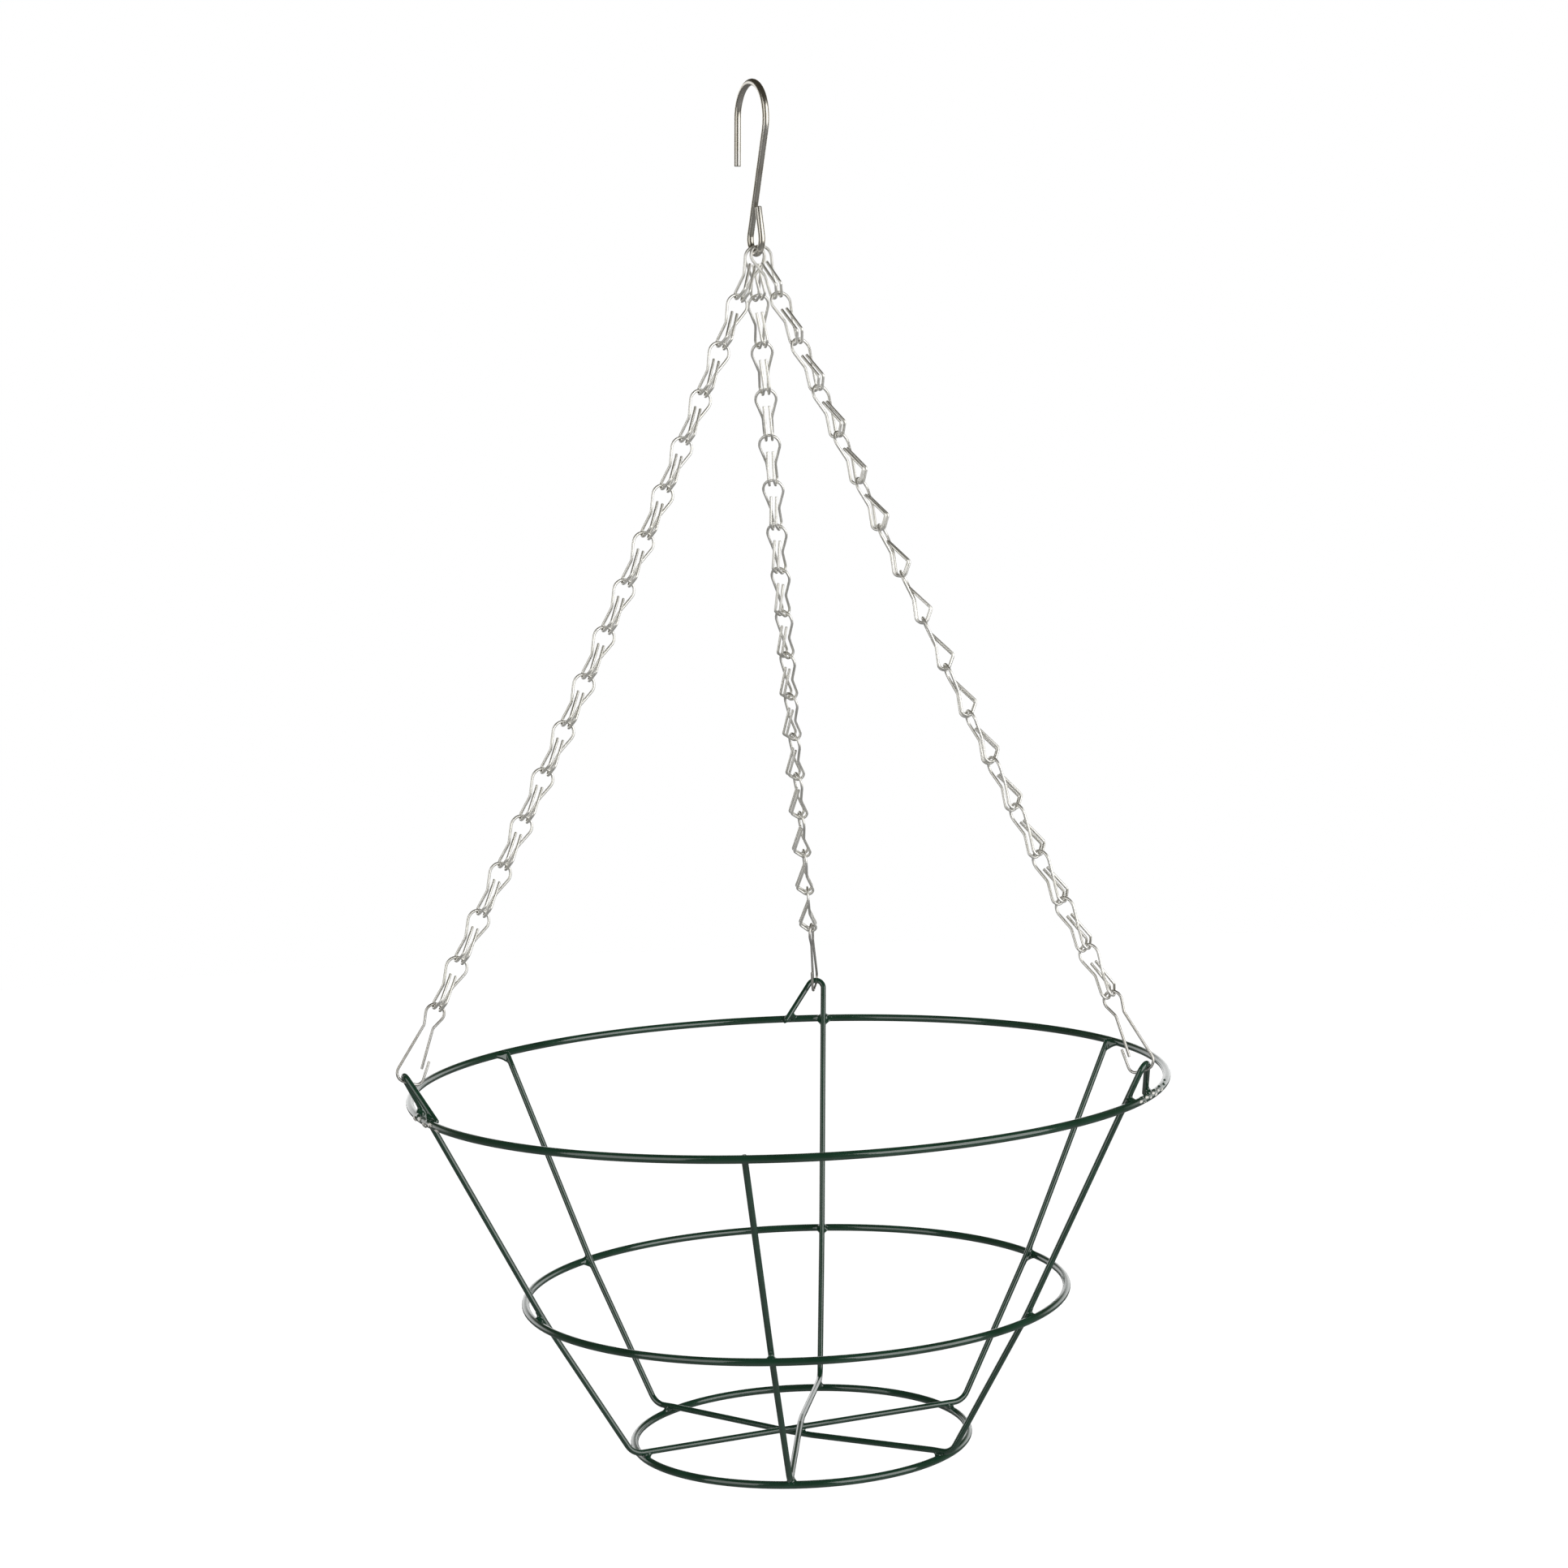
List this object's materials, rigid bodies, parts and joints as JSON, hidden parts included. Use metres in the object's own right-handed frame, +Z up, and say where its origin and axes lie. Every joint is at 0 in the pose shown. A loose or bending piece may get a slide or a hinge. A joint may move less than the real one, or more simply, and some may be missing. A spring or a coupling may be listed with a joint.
{
  "type": "hanging basket",
  "caption": "Open wire hanging basket: coated hoops welded to crossing frame wires, hung from a bent wire hook by strands of wire chain with a spring clip at each foot.",
  "frame": {"origin": "inside top of the hook's arch, where the hook sits on what holds it", "axes": "+Z up along the hanging line; the hook lies in the XZ plane with its free leg towards -X; the front strand's rim loop is towards -Y"},
  "size_m": [0.352, 0.3584, 0.6258],
  "materials": {
    "green_coat": "glossy dark green plastic coat over steel wire",
    "bright_zinc": "bright zinc plate over steel wire"
  },
  "bodies": {
    "hook": {"hanging_hook": "bright_zinc"},
    "basket": {"rim_ring": "green_coat", "middle_ring": "green_coat", "base_ring": "green_coat", "front_frame_wire": "green_coat", "right_frame_wire": "green_coat", "left_frame_wire": "green_coat"},
    "front_link_09": {"front_link_09": "bright_zinc"},
    "front_link_01": {"front_link_01": "bright_zinc"},
    "front_link_02": {"front_link_02": "bright_zinc"},
    "front_link_03": {"front_link_03": "bright_zinc"},
    "front_link_04": {"front_link_04": "bright_zinc"},
    "front_link_05": {"front_link_05": "bright_zinc"},
    "front_link_06": {"front_link_06": "bright_zinc"},
    "front_link_07": {"front_link_07": "bright_zinc"},
    "front_link_08": {"front_link_08": "bright_zinc"},
    "front_link_10": {"front_link_10": "bright_zinc"},
    "front_link_11": {"front_link_11": "bright_zinc"},
    "front_link_12": {"front_link_12": "bright_zinc"},
    "front_link_13": {"front_link_13": "bright_zinc"},
    "front_link_14": {"front_link_14": "bright_zinc"},
    "front_link_15": {"front_link_15": "bright_zinc"},
    "front_link_16": {"front_link_16": "bright_zinc"},
    "front_clip": {"front_clip": "bright_zinc"},
    "right_link_09": {"right_link_09": "bright_zinc"},
    "right_link_01": {"right_link_01": "bright_zinc"},
    "right_link_02": {"right_link_02": "bright_zinc"},
    "right_link_03": {"right_link_03": "bright_zinc"},
    "right_link_04": {"right_link_04": "bright_zinc"},
    "right_link_05": {"right_link_05": "bright_zinc"},
    "right_link_06": {"right_link_06": "bright_zinc"},
    "right_link_07": {"right_link_07": "bright_zinc"},
    "right_link_08": {"right_link_08": "bright_zinc"},
    "right_link_10": {"right_link_10": "bright_zinc"},
    "right_link_11": {"right_link_11": "bright_zinc"},
    "right_link_12": {"right_link_12": "bright_zinc"},
    "right_link_13": {"right_link_13": "bright_zinc"},
    "right_link_14": {"right_link_14": "bright_zinc"},
    "right_link_15": {"right_link_15": "bright_zinc"},
    "right_link_16": {"right_link_16": "bright_zinc"},
    "right_clip": {"right_clip": "bright_zinc"},
    "left_link_09": {"left_link_09": "bright_zinc"},
    "left_link_01": {"left_link_01": "bright_zinc"},
    "left_link_02": {"left_link_02": "bright_zinc"},
    "left_link_03": {"left_link_03": "bright_zinc"},
    "left_link_04": {"left_link_04": "bright_zinc"},
    "left_link_05": {"left_link_05": "bright_zinc"},
    "left_link_06": {"left_link_06": "bright_zinc"},
    "left_link_07": {"left_link_07": "bright_zinc"},
    "left_link_08": {"left_link_08": "bright_zinc"},
    "left_link_10": {"left_link_10": "bright_zinc"},
    "left_link_11": {"left_link_11": "bright_zinc"},
    "left_link_12": {"left_link_12": "bright_zinc"},
    "left_link_13": {"left_link_13": "bright_zinc"},
    "left_link_14": {"left_link_14": "bright_zinc"},
    "left_link_15": {"left_link_15": "bright_zinc"},
    "left_link_16": {"left_link_16": "bright_zinc"},
    "left_clip": {"left_clip": "bright_zinc"}
  },
  "joints": [
    {"name": "basket_swing", "type": "hinge", "parent": "hook", "child": "basket", "pos_m": [0, 0, -0.0681], "axis": [0, 1, 0], "range_deg": [-30, 30]},
    {"name": "front_link_09_twist", "type": "hinge", "parent": "basket", "child": "front_link_09", "pos_m": [-0.00748, -0.07654, -0.24026], "axis": [0.0432, 0.4418, 0.8961], "range_deg": [-60, 60], "stiffness_Nm_per_rad": 0.0005},
    {"name": "front_link_01_twist", "type": "hinge", "parent": "basket", "child": "front_link_01", "pos_m": [0.0001, 0.00102, -0.07226], "axis": [0.0392, 0.4007, 0.9154], "range_deg": [-6.68, 6.68]},
    {"name": "front_link_02_twist", "type": "hinge", "parent": "basket", "child": "front_link_02", "pos_m": [-0.00081, -0.00827, -0.09347], "axis": [0.0397, 0.4059, 0.9131], "range_deg": [-13.34, 13.34]},
    {"name": "front_link_03_twist", "type": "hinge", "parent": "basket", "child": "front_link_03", "pos_m": [-0.00173, -0.01767, -0.11461], "axis": [0.0402, 0.4111, 0.9107], "range_deg": [-20.01, 20.01]},
    {"name": "front_link_04_twist", "type": "hinge", "parent": "basket", "child": "front_link_04", "pos_m": [-0.00266, -0.02719, -0.1357], "axis": [0.0407, 0.4162, 0.9084], "range_deg": [-26.68, 26.68]},
    {"name": "front_link_05_twist", "type": "hinge", "parent": "basket", "child": "front_link_05", "pos_m": [-0.0036, -0.03682, -0.15673], "axis": [0.0412, 0.4214, 0.906], "range_deg": [-33.34, 33.34]},
    {"name": "front_link_06_twist", "type": "hinge", "parent": "basket", "child": "front_link_06", "pos_m": [-0.00455, -0.04657, -0.1777], "axis": [0.0417, 0.4265, 0.9035], "range_deg": [-40.01, 40.01]},
    {"name": "front_link_07_twist", "type": "hinge", "parent": "basket", "child": "front_link_07", "pos_m": [-0.00552, -0.05645, -0.19861], "axis": [0.0422, 0.4316, 0.9011], "range_deg": [-46.68, 46.68]},
    {"name": "front_link_08_twist", "type": "hinge", "parent": "basket", "child": "front_link_08", "pos_m": [-0.00649, -0.06643, -0.21947], "axis": [0.0427, 0.4367, 0.8986], "range_deg": [-53.34, 53.34]},
    {"name": "front_link_10_twist", "type": "hinge", "parent": "basket", "child": "front_link_10", "pos_m": [-0.00848, -0.08677, -0.261], "axis": [0.0437, 0.4469, 0.8935], "range_deg": [-53.34, 53.34]},
    {"name": "front_link_11_twist", "type": "hinge", "parent": "basket", "child": "front_link_11", "pos_m": [-0.00949, -0.09711, -0.28167], "axis": [0.0442, 0.452, 0.8909], "range_deg": [-46.68, 46.68]},
    {"name": "front_link_12_twist", "type": "hinge", "parent": "basket", "child": "front_link_12", "pos_m": [-0.01052, -0.10757, -0.30229], "axis": [0.0447, 0.457, 0.8883], "range_deg": [-40.01, 40.01]},
    {"name": "front_link_13_twist", "type": "hinge", "parent": "basket", "child": "front_link_13", "pos_m": [-0.01155, -0.11815, -0.32285], "axis": [0.0452, 0.4621, 0.8857], "range_deg": [-33.34, 33.34]},
    {"name": "front_link_14_twist", "type": "hinge", "parent": "basket", "child": "front_link_14", "pos_m": [-0.01259, -0.12884, -0.34335], "axis": [0.0457, 0.4671, 0.883], "range_deg": [-26.68, 26.68]},
    {"name": "front_link_15_twist", "type": "hinge", "parent": "basket", "child": "front_link_15", "pos_m": [-0.01365, -0.13966, -0.36379], "axis": [0.0461, 0.4721, 0.8803], "range_deg": [-20.01, 20.01]},
    {"name": "front_link_16_twist", "type": "hinge", "parent": "basket", "child": "front_link_16", "pos_m": [-0.01472, -0.15058, -0.38417], "axis": [0.0466, 0.4771, 0.8776], "range_deg": [-13.34, 13.34]},
    {"name": "front_clip_twist", "type": "hinge", "parent": "basket", "child": "front_clip", "pos_m": [-0.0158, -0.16163, -0.40449], "axis": [0.0472, 0.4833, 0.8742], "range_deg": [-6.68, 6.68]},
    {"name": "right_link_09_twist", "type": "hinge", "parent": "basket", "child": "right_link_09", "pos_m": [0.06225, 0.0467, -0.24049], "axis": [-0.3428, -0.2695, 0.8999], "range_deg": [-60, 60], "stiffness_Nm_per_rad": 0.0005},
    {"name": "right_link_01_twist", "type": "hinge", "parent": "basket", "child": "right_link_01", "pos_m": [0.00207, -0.00062, -0.07159], "axis": [-0.3102, -0.2439, 0.9188], "range_deg": [-6.68, 6.68]},
    {"name": "right_link_02_twist", "type": "hinge", "parent": "basket", "child": "right_link_02", "pos_m": [0.00927, 0.00504, -0.0929], "axis": [-0.3143, -0.2472, 0.9166], "range_deg": [-13.34, 13.34]},
    {"name": "right_link_03_twist", "type": "hinge", "parent": "basket", "child": "right_link_03", "pos_m": [0.01656, 0.01077, -0.11416], "axis": [-0.3184, -0.2504, 0.9143], "range_deg": [-20.01, 20.01]},
    {"name": "right_link_04_twist", "type": "hinge", "parent": "basket", "child": "right_link_04", "pos_m": [0.02394, 0.01658, -0.13536], "axis": [-0.3225, -0.2536, 0.912], "range_deg": [-26.68, 26.68]},
    {"name": "right_link_05_twist", "type": "hinge", "parent": "basket", "child": "right_link_05", "pos_m": [0.03142, 0.02245, -0.1565], "axis": [-0.3266, -0.2568, 0.9096], "range_deg": [-33.34, 33.34]},
    {"name": "right_link_06_twist", "type": "hinge", "parent": "basket", "child": "right_link_06", "pos_m": [0.03899, 0.02841, -0.17758], "axis": [-0.3306, -0.26, 0.9072], "range_deg": [-40.01, 40.01]},
    {"name": "right_link_07_twist", "type": "hinge", "parent": "basket", "child": "right_link_07", "pos_m": [0.04665, 0.03443, -0.19861], "axis": [-0.3347, -0.2632, 0.9048], "range_deg": [-46.68, 46.68]},
    {"name": "right_link_08_twist", "type": "hinge", "parent": "basket", "child": "right_link_08", "pos_m": [0.05441, 0.04053, -0.21958], "axis": [-0.3387, -0.2664, 0.9024], "range_deg": [-53.34, 53.34]},
    {"name": "right_link_10_twist", "type": "hinge", "parent": "basket", "child": "right_link_10", "pos_m": [0.0702, 0.05295, -0.26134], "axis": [-0.3468, -0.2727, 0.8974], "range_deg": [-53.34, 53.34]},
    {"name": "right_link_11_twist", "type": "hinge", "parent": "basket", "child": "right_link_11", "pos_m": [0.07823, 0.05927, -0.28214], "axis": [-0.3508, -0.2759, 0.8949], "range_deg": [-46.68, 46.68]},
    {"name": "right_link_12_twist", "type": "hinge", "parent": "basket", "child": "right_link_12", "pos_m": [0.08636, 0.06566, -0.30287], "axis": [-0.3548, -0.279, 0.8923], "range_deg": [-40.01, 40.01]},
    {"name": "right_link_13_twist", "type": "hinge", "parent": "basket", "child": "right_link_13", "pos_m": [0.09459, 0.07213, -0.32355], "axis": [-0.3588, -0.2822, 0.8897], "range_deg": [-33.34, 33.34]},
    {"name": "right_link_14_twist", "type": "hinge", "parent": "basket", "child": "right_link_14", "pos_m": [0.1029, 0.07867, -0.34417], "axis": [-0.3628, -0.2853, 0.8871], "range_deg": [-26.68, 26.68]},
    {"name": "right_link_15_twist", "type": "hinge", "parent": "basket", "child": "right_link_15", "pos_m": [0.11131, 0.08528, -0.36473], "axis": [-0.3668, -0.2884, 0.8845], "range_deg": [-20.01, 20.01]},
    {"name": "right_link_16_twist", "type": "hinge", "parent": "basket", "child": "right_link_16", "pos_m": [0.11981, 0.09197, -0.38524], "axis": [-0.3707, -0.2915, 0.8818], "range_deg": [-13.34, 13.34]},
    {"name": "right_clip_twist", "type": "hinge", "parent": "basket", "child": "right_clip", "pos_m": [0.12841, 0.09873, -0.40569], "axis": [-0.3757, -0.2954, 0.8784], "range_deg": [-6.68, 6.68]},
    {"name": "left_link_09_twist", "type": "hinge", "parent": "basket", "child": "left_link_09", "pos_m": [-0.06903, 0.03689, -0.23983], "axis": [0.3829, -0.2135, 0.8988], "range_deg": [-60, 60], "stiffness_Nm_per_rad": 0.0005},
    {"name": "left_link_01_twist", "type": "hinge", "parent": "basket", "child": "left_link_01", "pos_m": [-0.00198, -0.00049, -0.07159], "axis": [0.3466, -0.1932, 0.9179], "range_deg": [-6.68, 6.68]},
    {"name": "left_link_02_twist", "type": "hinge", "parent": "basket", "child": "left_link_02", "pos_m": [-0.01, 0.00398, -0.09283], "axis": [0.3512, -0.1958, 0.9156], "range_deg": [-13.34, 13.34]},
    {"name": "left_link_03_twist", "type": "hinge", "parent": "basket", "child": "left_link_03", "pos_m": [-0.01812, 0.00851, -0.114], "axis": [0.3557, -0.1983, 0.9133], "range_deg": [-20.01, 20.01]},
    {"name": "left_link_04_twist", "type": "hinge", "parent": "basket", "child": "left_link_04", "pos_m": [-0.02635, 0.01309, -0.13512], "axis": [0.3603, -0.2009, 0.911], "range_deg": [-26.68, 26.68]},
    {"name": "left_link_05_twist", "type": "hinge", "parent": "basket", "child": "left_link_05", "pos_m": [-0.03467, 0.01774, -0.15618], "axis": [0.3648, -0.2034, 0.9086], "range_deg": [-33.34, 33.34]},
    {"name": "left_link_06_twist", "type": "hinge", "parent": "basket", "child": "left_link_06", "pos_m": [-0.04311, 0.02244, -0.17718], "axis": [0.3693, -0.2059, 0.9062], "range_deg": [-40.01, 40.01]},
    {"name": "left_link_07_twist", "type": "hinge", "parent": "basket", "child": "left_link_07", "pos_m": [-0.05164, 0.0272, -0.19812], "axis": [0.3739, -0.2084, 0.9038], "range_deg": [-46.68, 46.68]},
    {"name": "left_link_08_twist", "type": "hinge", "parent": "basket", "child": "left_link_08", "pos_m": [-0.06028, 0.03202, -0.219], "axis": [0.3784, -0.211, 0.9013], "range_deg": [-53.34, 53.34]},
    {"name": "left_link_10_twist", "type": "hinge", "parent": "basket", "child": "left_link_10", "pos_m": [-0.07787, 0.04182, -0.2606], "axis": [0.3873, -0.216, 0.8963], "range_deg": [-53.34, 53.34]},
    {"name": "left_link_11_twist", "type": "hinge", "parent": "basket", "child": "left_link_11", "pos_m": [-0.08682, 0.04681, -0.28131], "axis": [0.3918, -0.2185, 0.8937], "range_deg": [-46.68, 46.68]},
    {"name": "left_link_12_twist", "type": "hinge", "parent": "basket", "child": "left_link_12", "pos_m": [-0.09588, 0.05186, -0.30196], "axis": [0.3963, -0.2209, 0.8912], "range_deg": [-40.01, 40.01]},
    {"name": "left_link_13_twist", "type": "hinge", "parent": "basket", "child": "left_link_13", "pos_m": [-0.10503, 0.05697, -0.32256], "axis": [0.4007, -0.2234, 0.8886], "range_deg": [-33.34, 33.34]},
    {"name": "left_link_14_twist", "type": "hinge", "parent": "basket", "child": "left_link_14", "pos_m": [-0.11429, 0.06213, -0.34309], "axis": [0.4051, -0.2259, 0.8859], "range_deg": [-26.68, 26.68]},
    {"name": "left_link_15_twist", "type": "hinge", "parent": "basket", "child": "left_link_15", "pos_m": [-0.12366, 0.06735, -0.36357], "axis": [0.4095, -0.2283, 0.8833], "range_deg": [-20.01, 20.01]},
    {"name": "left_link_16_twist", "type": "hinge", "parent": "basket", "child": "left_link_16", "pos_m": [-0.13313, 0.07263, -0.38399], "axis": [0.4139, -0.2308, 0.8806], "range_deg": [-13.34, 13.34]},
    {"name": "left_clip_twist", "type": "hinge", "parent": "basket", "child": "left_clip", "pos_m": [-0.1427, 0.07797, -0.40435], "axis": [0.4194, -0.2339, 0.8771], "range_deg": [-6.68, 6.68]}
  ],
  "couplings": [
    {"joint": "front_link_01_twist", "follows": "front_link_09_twist", "ratio": 0.11111},
    {"joint": "front_link_02_twist", "follows": "front_link_09_twist", "ratio": 0.22222},
    {"joint": "front_link_03_twist", "follows": "front_link_09_twist", "ratio": 0.33333},
    {"joint": "front_link_04_twist", "follows": "front_link_09_twist", "ratio": 0.44444},
    {"joint": "front_link_05_twist", "follows": "front_link_09_twist", "ratio": 0.55556},
    {"joint": "front_link_06_twist", "follows": "front_link_09_twist", "ratio": 0.66667},
    {"joint": "front_link_07_twist", "follows": "front_link_09_twist", "ratio": 0.77778},
    {"joint": "front_link_08_twist", "follows": "front_link_09_twist", "ratio": 0.88889},
    {"joint": "front_link_10_twist", "follows": "front_link_09_twist", "ratio": 0.88889},
    {"joint": "front_link_11_twist", "follows": "front_link_09_twist", "ratio": 0.77778},
    {"joint": "front_link_12_twist", "follows": "front_link_09_twist", "ratio": 0.66667},
    {"joint": "front_link_13_twist", "follows": "front_link_09_twist", "ratio": 0.55556},
    {"joint": "front_link_14_twist", "follows": "front_link_09_twist", "ratio": 0.44444},
    {"joint": "front_link_15_twist", "follows": "front_link_09_twist", "ratio": 0.33333},
    {"joint": "front_link_16_twist", "follows": "front_link_09_twist", "ratio": 0.22222},
    {"joint": "front_clip_twist", "follows": "front_link_09_twist", "ratio": 0.11111},
    {"joint": "right_link_01_twist", "follows": "right_link_09_twist", "ratio": 0.11111},
    {"joint": "right_link_02_twist", "follows": "right_link_09_twist", "ratio": 0.22222},
    {"joint": "right_link_03_twist", "follows": "right_link_09_twist", "ratio": 0.33333},
    {"joint": "right_link_04_twist", "follows": "right_link_09_twist", "ratio": 0.44444},
    {"joint": "right_link_05_twist", "follows": "right_link_09_twist", "ratio": 0.55556},
    {"joint": "right_link_06_twist", "follows": "right_link_09_twist", "ratio": 0.66667},
    {"joint": "right_link_07_twist", "follows": "right_link_09_twist", "ratio": 0.77778},
    {"joint": "right_link_08_twist", "follows": "right_link_09_twist", "ratio": 0.88889},
    {"joint": "right_link_10_twist", "follows": "right_link_09_twist", "ratio": 0.88889},
    {"joint": "right_link_11_twist", "follows": "right_link_09_twist", "ratio": 0.77778},
    {"joint": "right_link_12_twist", "follows": "right_link_09_twist", "ratio": 0.66667},
    {"joint": "right_link_13_twist", "follows": "right_link_09_twist", "ratio": 0.55556},
    {"joint": "right_link_14_twist", "follows": "right_link_09_twist", "ratio": 0.44444},
    {"joint": "right_link_15_twist", "follows": "right_link_09_twist", "ratio": 0.33333},
    {"joint": "right_link_16_twist", "follows": "right_link_09_twist", "ratio": 0.22222},
    {"joint": "right_clip_twist", "follows": "right_link_09_twist", "ratio": 0.11111},
    {"joint": "left_link_01_twist", "follows": "left_link_09_twist", "ratio": 0.11111},
    {"joint": "left_link_02_twist", "follows": "left_link_09_twist", "ratio": 0.22222},
    {"joint": "left_link_03_twist", "follows": "left_link_09_twist", "ratio": 0.33333},
    {"joint": "left_link_04_twist", "follows": "left_link_09_twist", "ratio": 0.44444},
    {"joint": "left_link_05_twist", "follows": "left_link_09_twist", "ratio": 0.55556},
    {"joint": "left_link_06_twist", "follows": "left_link_09_twist", "ratio": 0.66667},
    {"joint": "left_link_07_twist", "follows": "left_link_09_twist", "ratio": 0.77778},
    {"joint": "left_link_08_twist", "follows": "left_link_09_twist", "ratio": 0.88889},
    {"joint": "left_link_10_twist", "follows": "left_link_09_twist", "ratio": 0.88889},
    {"joint": "left_link_11_twist", "follows": "left_link_09_twist", "ratio": 0.77778},
    {"joint": "left_link_12_twist", "follows": "left_link_09_twist", "ratio": 0.66667},
    {"joint": "left_link_13_twist", "follows": "left_link_09_twist", "ratio": 0.55556},
    {"joint": "left_link_14_twist", "follows": "left_link_09_twist", "ratio": 0.44444},
    {"joint": "left_link_15_twist", "follows": "left_link_09_twist", "ratio": 0.33333},
    {"joint": "left_link_16_twist", "follows": "left_link_09_twist", "ratio": 0.22222},
    {"joint": "left_clip_twist", "follows": "left_link_09_twist", "ratio": 0.11111}
  ]
}
